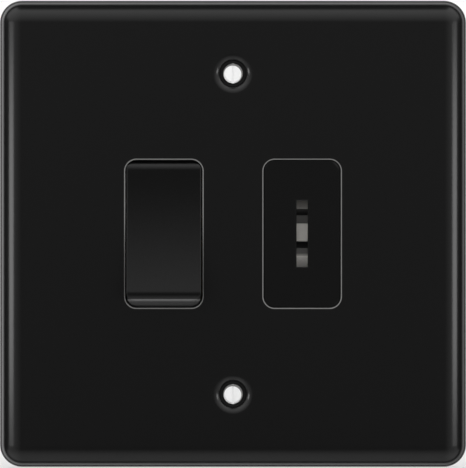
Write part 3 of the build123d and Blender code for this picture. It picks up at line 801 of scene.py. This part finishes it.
def pierced_profile():
    """Round front edge of an aperture, then its wall: reach is R less R sine, depth is R less R cosine."""
    turn = np.linspace(0, pi / 2, 5)
    edge = [pierced_round * (1 - np.sin(turn)), face_y + pierced_round * (1 - np.cos(turn))]
    return np.vstack([np.stack(edge, axis=1), [(0, back_y)]])


print("the roll, a dimple and an aperture have", len(quarter_roll(edge_roll, 0, 0)), len(dimple_profile()),
      len(pierced_profile()), "points")

# %% [markdown]
# The flat front and back are what lies between these edges. They take their points from the first and the
# last row of each grid, so nothing has to be fitted: where a grid ends, the flat face begins.
# %% Front plate
def one_each(loop):
    """The loop without points that repeat the one before, as where a corner's radius is nothing."""
    step = np.linalg.norm(loop - np.roll(loop, 1, axis=0), axis=1)
    return loop[step > 1e-4]


def press_plate():
    """All surfaces of the pressing, outside skin first."""
    points, out = rounded_outline(plate_half, plate_half, edge_roll, 14)
    outer = np.vstack([[(0, 0)], quarter_roll(edge_roll, 0, -plate_rim)])
    inner = np.vstack([[(-sheet, 0)], quarter_roll(edge_roll - sheet, -sheet, -plate_rim)])
    surfaces = [(carried(points, out, outer), True), (carried(points, out, inner), True),
                (carried(points, out, [(0, 0), (-sheet, 0)]), True)]
    front_loops = [carried(points, out, outer[-1:])[0][:, [0, 2]]]
    back_loops = [carried(points, out, inner[-1:])[0][:, [0, 2]]]
    rest = [(seat_r, seat_y), (hole_r, seat_y + cone_depth), (hole_r, seat_y + sheet),
            (dimple_boss, seat_y + sheet), (dimple_boss, back_y)]
    apertures = rounded_outline(*aperture, aperture_corner, 10), pierced_profile(), (module_x, 0)
    dimples = circle_outline(), np.vstack([dimple_profile(), rest]), (0, fixing)
    for outline, profile, (across, up) in (apertures, dimples):
        for side in (-1, 1):
            grid = carried(*outline, profile, (side * across, side * up))
            surfaces.append((grid, True))
            front_loops.append(grid[0][:, [0, 2]])
            back_loops.append(grid[-1][:, [0, 2]])
    surfaces.append(flat_fill([one_each(loop) for loop in front_loops], face_y))
    surfaces.append(flat_fill([one_each(loop) for loop in back_loops], back_y))
    return surfaces


make_piece("front_plate_pressing", press_plate(), coat_finish, "front_plate", crease=50)

# %% [markdown]
# ## The rocker
#
# The cap of the rocker is a shallow dish with generous round ends. Seen from the side, each end is an arc
# about the pins, so it passes the plate's edge with the same small gap all the way. Its corners are nearly
# square at the dish and grow rounder towards the plate, whose corners they have to pass. A subdivided box
# would round all of this at once. So the cap is a stack of rounded rectangles, each with its own size and
# corner, and the dish lifts every point by its own height.
# %% Rocker's own frame
# The sweep is the ends' radius about the pins: as far as the aperture's rear edge, less two small gaps.
rocker_gap, end_gap, rear_gap = 0.25, 0.15, 0.06
rocker_half = aperture[0] - rocker_gap
sweep = np.hypot(aperture[1] - end_gap, pins_y - back_y) - rear_gap
end_round, side_round, rocker_wall = 1.8, 0.15, 1.3
dish_lean = radians(7.9)
round_front = 5.27
round_up = np.sqrt((sweep - end_round) ** 2 - round_front ** 2)
skirt_front = 1.6
square_corner, round_corner, inner_corner = 0.35, 1.85, 0.8
corner_growth = 1.3
dish_edge = round_up - end_round * sin(dish_lean)
dish_bend = np.tan(dish_lean) / (2 * dish_edge)
dish_middle = round_front + end_round * cos(dish_lean) - dish_bend * dish_edge ** 2


def from_rocker(points):
    """Places in the rocker's own (across, up, front) turned about the pins to where it rests."""
    across, up, front = np.moveaxis(points, -1, 0)
    y = pins_y + up * sin(tilt) - front * cos(tilt)
    return np.stack([across - module_x, y, up * cos(tilt) + front * sin(tilt)], axis=-1)


def dish(up):
    """Height of the dish: a parabola in the height alone, level in the middle."""
    return dish_middle + dish_bend * up ** 2


print("the dish is", round(dish(0), 2), "mm in front of the pins, its ends", round(dish(dish_edge), 2))

# %% [markdown]
# The rows of the cap run from the dish's middle line outwards, over the round edge, down the skirt, and
# back up inside it to the middle again. Each row has the same number of points, so the rows are one closed
# grid.
# %% Rocker's cap
def ring(half_width, half_up, corner):
    """One rounded rectangle of a stack: its points (across, up) and their outward directions."""
    return rounded_outline(half_width, half_up, corner, 8, (10, 36))


def closing(half_width, half_up, corner, steps=7):
    """Rings that shrink from an outline to its middle line, the line last."""
    share = np.linspace(0, 1, steps + 1)[1:]
    return [ring(half_width * (1 - s), half_up - half_width * s, corner * (1 - s))[0] for s in share]


def lifted(spots, under=0.0):
    """A row of the stack at the dish's height, or so much under it."""
    return np.column_stack([spots, dish(spots[:, 1]) - under])


def rocker_cap():
    """Rows of the dish, the round edge, the skirt and the hollow.

    Round edge: at the ends up is U plus R sin a and front is F plus R cos a, with a from the dish's lean to
    where the arc about the pins begins. At the sides it only drops by a small round of its own.
    """
    inner_half, inner_up = rocker_half - side_round, dish_edge
    first = ring(inner_half, inner_up, square_corner)[0]
    rows = [lifted(row) for row in closing(inner_half, inner_up, square_corner)[::-1]] + [lifted(first)]
    meets_arc = pi / 2 - np.arctan2(round_front, round_up)
    for share in np.linspace(0, 1, 15)[1:]:
        turn = -dish_lean + share * (meets_arc + dish_lean)
        up = round_up + end_round * sin(turn)
        corner = square_corner + (round_corner - square_corner) * share ** corner_growth
        spots, out = ring(rocker_half - side_round * (1 - sin(share * pi / 2)), up, corner)
        end_drop = dish(up) - round_front - end_round * cos(turn)
        drop = side_round * (1 - cos(share * pi / 2))
        drop = drop + (end_drop - drop) * out[:, 1] ** 2
        rows.append(lifted(spots, drop))
    lip = rows[-1][:, 2]
    lip_front = round_front + end_round * cos(meets_arc)
    for share in np.linspace(0, 1, 7)[1:]:
        front = lip_front + (skirt_front - lip_front) * share
        spots = ring(rocker_half, np.sqrt(sweep ** 2 - front ** 2), round_corner)[0]
        rows.append(np.column_stack([spots, lip + (skirt_front - lip) * share]))
    inner = (rocker_half - rocker_wall, np.sqrt(sweep ** 2 - skirt_front ** 2) - rocker_wall, inner_corner)
    spots = ring(*inner)[0]
    rows.append(np.column_stack([spots, np.full(len(spots), skirt_front)]))
    inner = (rocker_half - rocker_wall, round_up, inner_corner)
    return np.stack(rows + [lifted(row, rocker_wall) for row in [ring(*inner)[0]] + closing(*inner)])


cap = rocker_cap()
print("the cap has", len(cap), "rows of", cap.shape[1], "points")

# %% [markdown]
# Inside the cap are the web, the hub with its pins and the bored stem. A hub drawn as one bar would run
# through the bore, where the spring and the plunger are, so each side has its own half hub and web, which
# end in the stem's wall.
# %% Rocker's inside
stem_half, stem_front, stem_rear = 2.5, 5.6, -5.2
bore_half, bore_front = 1.7, 0.6
pin_r, hub_r, chamfer, pin_reach = 1.2, 2.2, 0.12, 1.6
web_thick = 1.2
stem_corner, bore_corner, web_corner = 0.15, 0.08, 0.05


def stack(rings):
    """A solid of (half width, half height, corner, front) rings, shut at both ends."""
    rows = []
    for half_width, half_up, corner, front in rings:
        spots = rounded_outline(half_width, half_up, corner, 4)[0]
        rows.append(np.column_stack([spots, np.full(len(spots), front)]))
    rows = [rows[0] * [0, 0, 1]] + rows + [rows[-1] * [0, 0, 1]]
    return np.stack(rows)


def turned_bar(profile, steps=40):
    """A bar turned about the pins' axis: up is R cos a and front is R sin a at each (across, R)."""
    turn = np.arange(steps) * 2 * pi / steps
    across, radius = np.array(profile).T[:, :, None]
    across = np.broadcast_to(across, (len(across), steps))
    return np.stack([across, radius * np.cos(turn), radius * np.sin(turn)], axis=2)


def rocker_inside():
    """Stem with its bore, and on each side of it a web and half the hub with its pin."""
    outside, hole = (stem_half, stem_half, stem_corner), (bore_half, bore_half, bore_corner)
    narrow = (stem_half - chamfer, stem_half - chamfer, stem_corner)
    tube = [(*outside, stem_front), (*outside, stem_rear + chamfer), (*narrow, stem_rear),
            (*hole, stem_rear), (*hole, bore_front)]
    solids = [stack(tube)]
    root = (stem_half + bore_half) / 2
    web_half = (rocker_half - rocker_wall / 2 - root) / 2
    web = stack([(web_half, web_thick / 2, web_corner, front) for front in (stem_front, -hub_r)])
    end = rocker_half + rocker_gap + pin_reach
    bar = turned_bar([(root, 0), (root, hub_r), (rocker_half, hub_r), (rocker_half, pin_r),
                      (end - chamfer, pin_r), (end, pin_r - chamfer), (end, 0)])
    for side in (1, -1):
        solids += [web + [side * (root + web_half), 0, 0], bar * [side, 1, 1]]
    return solids


make_piece("rocker_moulded", [(from_rocker(grid), True) for grid in [cap] + rocker_inside()],
           rocker_finish, "rocker")

# %% [markdown]
# ## Slotted screws
#
# The plate screws have a raised head with a flat top, and the clamp screws are headless. Both have a sawn
# slot through a turned end. A slot could be cut by a Boolean, which leaves slivers along the cut. Here the
# end is two half discs instead: at each radius the arc stops where it meets the slot, at the angle whose
# cosine is half the slot over that radius, so rings and slot share their points. The thread is a radius
# that falls with the distance from a helix.
# %% Sawn end
def sawn_end(end_profile, slot_half, slot_depth, arc):
    """Two half discs with the slot between them, and the angles at which their rims stand.

    Half disc: x is R cos(s f), z is R sin(s f), with f the angle whose cosine is slot_half over R.
    """
    reach, fall = np.array(end_profile, dtype=float).T
    rings = np.unique(np.concatenate([np.linspace(slot_half, reach[-1], 12), reach[1:]]))
    rings = rings[rings >= slot_half]
    end_depth = np.interp(rings, reach, fall)
    angle = np.arccos(np.clip(slot_half / rings, -1, 1))[:, None] * np.linspace(-1, 1, arc + 1)
    across, up = rings[:, None] * np.cos(angle), rings[:, None] * np.sin(angle)
    depth = np.broadcast_to(end_depth[:, None], angle.shape)
    chord_up = np.concatenate([up[::-1, 0], up[1:, -1]])
    chord_depth = np.concatenate([end_depth[::-1], end_depth[1:]])
    surfaces, low_edges = [], []
    for side in (1, -1):
        wall_x, low = np.full_like(chord_up, side * slot_half), np.full_like(chord_up, slot_depth)
        low_edges.append(np.stack([wall_x, low, chord_up], axis=1))
        wall = np.stack([np.stack([wall_x, chord_depth, chord_up], axis=1), low_edges[-1]])
        rim = np.stack([side * across[-1], depth[-1], up[-1]], axis=1)
        rim_low = np.stack([side * across[-1], np.full(arc + 1, slot_depth), up[-1]], axis=1)
        surfaces += [(np.stack([side * across, depth, up], axis=2), False), (wall, False),
                     (np.stack([rim, rim_low]), False)]
    surfaces.append((np.stack(low_edges), False))
    return surfaces, np.concatenate([angle[-1], pi - angle[-1][::-1]])


print("a sawn end has", len(sawn_end([(0, 0), (1, 0)], 0.2, 0.3, 24)[0]), "surfaces")

# %% Threaded side
def threaded_side(side_profile, thread, turn):
    """Side and tip of a screw, with a point at each angle of turn.

    Thread: radius is crest less height times a triangle wave of depth over pitch less angle over a turn.
    """
    crest, root, pitch, start, end = thread
    rows = np.arange(start, end, pitch / 6)
    wave = (rows[:, None] / pitch - turn[None] / (2 * pi)) % 1
    runout = np.clip(np.minimum(rows - start, end - rows) / pitch, 0, 1)[:, None]
    thread_r = crest - (crest - root) * runout * (1 - np.abs(2 * wave - 1))
    side_profile = np.array(side_profile, dtype=float)
    radius = np.vstack([np.repeat(side_profile[:, :1], len(turn), axis=1), thread_r,
                        np.full((1, len(turn)), root)])
    deep = np.concatenate([side_profile[:, 1], rows, [end]])
    deep = np.broadcast_to(deep[:, None], radius.shape)
    body = np.stack([radius * np.cos(turn), deep, radius * np.sin(turn)], axis=2)
    tip = body[-1] * [0.02, 1, 0.02]
    return [(body, True), (np.stack([body[-1], tip]), True), (tip, [tuple(range(len(tip)))])]


def slotted_screw(end_profile, slot, side_profile, thread, middle, start_y, towards, arc=24):
    """Surfaces of one screw along Y.

    Profiles are rows of (radius, depth from the end), slot is its half width and depth, and thread is its
    crest and root radius, pitch, start and end.
    """
    surfaces, turn = sawn_end(end_profile, *slot, arc)
    surfaces += threaded_side([(end_profile[-1][0], slot[1])] + side_profile, thread, turn)
    start = [middle[0], start_y, middle[1]]
    return [(points * [1, towards, 1] + start, shape) for points, shape in surfaces]


print("screws can be turned")

# %% [markdown]
# A plate screw has a flat top, a slope down to a thin rim, and a shank that starts under the plate's seat.
# The seat and the crown are where the plate and the frame have them, so only the head's own form is new.
# %% Plate screws
screw_low, screw_high = box_mm("plate_screws")
crown_y = screw_low[1]
head_r, flat_r, shank_r = 1.9, 1.55, 1.25
rim_depth = 0.433
plate_slot = (0.22, 0.25)
plate_thread_depth, thread_pitch, thread_from = 0.22, 0.6, 0.7
seat_depth = seat_y - crown_y
head_profile = [(0, 0), (flat_r - 0.1, 0), (flat_r, 0.03), (head_r - 0.03, rim_depth - 0.05),
                (head_r, rim_depth)]
shank_profile = [(head_r, seat_depth), (shank_r, seat_depth + cone_depth)]
plate_thread = (shank_r, shank_r - plate_thread_depth, thread_pitch, seat_depth + thread_from,
                screw_high[1] - crown_y)
screws = []
for side in (1, -1):
    screws += slotted_screw(head_profile, plate_slot, shank_profile, plate_thread, (0, side * fixing),
                            crown_y, 1)
make_piece("plate_screws_turned", screws, screw_finish, "plate_screws", edge_mm=0.04)

# %% [markdown]
# The clamp screws use the same function with a plain end. Each one's own place is measured in the mesh of
# its node, because a node can hold three of them and its box would only give the place of all together.
# %% Clamp screws
clamp_r, clamp_root, clamp_flat = 1.7, 1.46, 1.5
clamp_slot = (0.4, 0.5)
clamp_end = [(0, 0), (clamp_flat, 0), (clamp_r, 0.14)]
clamp_side, clamp_thread_from = [(clamp_r, 0.55)], 0.6
screws_apart = 4


def screw_places(node):
    """Middle, rear end and tip of each separate screw in a node's mesh."""
    mesh = frame["nodes"][node].data
    spots = np.empty(len(mesh.vertices) * 3)
    mesh.vertices.foreach_get("co", spots)
    spots = spots.reshape(-1, 3) / mm
    found = []
    while len(spots):
        near = np.linalg.norm(spots[:, [0, 2]] - spots[0, [0, 2]], axis=1) < screws_apart
        low, high = spots[near].min(axis=0), spots[near].max(axis=0)
        found.append((((low[0] + high[0]) / 2, (low[2] + high[2]) / 2), high[1], low[1]))
        spots = spots[~near]
    return found


def clamp_screws(node):
    """The clamp screws of one node, each from its rear end towards its tip."""
    surfaces = []
    for middle, rear_y, tip_y in screw_places(node):
        thread = (clamp_r, clamp_root, thread_pitch, clamp_thread_from, rear_y - tip_y)
        surfaces += slotted_screw(clamp_end, clamp_slot, clamp_side, thread, middle, rear_y, -1, arc=20)
    make_piece(f"{node}_turned", surfaces, clamp_finish, node, edge_mm=0.05)


for node in ("rocker_terminal_screws", "key_terminal_screws", "earth_screw"):
    clamp_screws(node)

# %% [markdown]
# ## The springs
#
# Each spring lies in its stem, between the blind end of the bore and the plunger's shoulder. The plunger
# can go in by its stroke, and then the spring is shorter by as much. A shape key or a squash along the stem
# could shorten it; here each spring only gets a mesh of its own, and in wire so thin the change can't be
# seen.
# %% Springs
shoulder, stroke = -2.6, 1.0


def squeeze(spring, module):
    """Gives a spring a mesh of its own and finds the anchor and direction of a squash, which is not applied.
    """
    aside = 2 * module_x if module == "key" else 0.0
    anchor = from_rocker(np.array([aside, 0.0, bore_front]))
    along = from_rocker(np.array([0.0, 0.0, -1.0])) - from_rocker(np.zeros(3))
    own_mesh(spring)


print("a spring is", bore_front - shoulder, "mm long and shortens by", stroke)

# %% [markdown]
# ## The moulded, cast and bent pieces
#
# These already have their true form in the frame: walls, pins, stems, pockets and bends. What a real piece
# has as well is an edge that is never sharp. To draw them anew would gain nothing, so each is a copy of its
# node with a small radius on every edge, 0.05 to 0.14 mm, which is what catches the light along an edge.
# %% Dressed pieces
dressed("key_rocker", cast_finish, 0.12)
dressed("rocker_cover", cover_finish, 0.12)
dressed("key_cover", cover_finish, 0.10)
dressed("grid_frame", zinc_finish, 0.10)
dressed("earth_terminal", brass_finish, 0.12)
for module in ("rocker", "key"):
    dressed(f"{module}_housing", housing_finish, 0.14)
    dressed(f"{module}_plunger", nylon_finish)
    dressed(f"{module}_blade", blade_finish)
    dressed(f"{module}_blade_tips", silver_finish)
    dressed(f"{module}_fixed_tips", silver_finish)
    squeeze(dressed(f"{module}_spring", spring_finish, 0.05), module)
    for terminal in ("common_terminal", "terminal_l1", "terminal_l2"):
        dressed(f"{module}_{terminal}", brass_finish, 0.10)
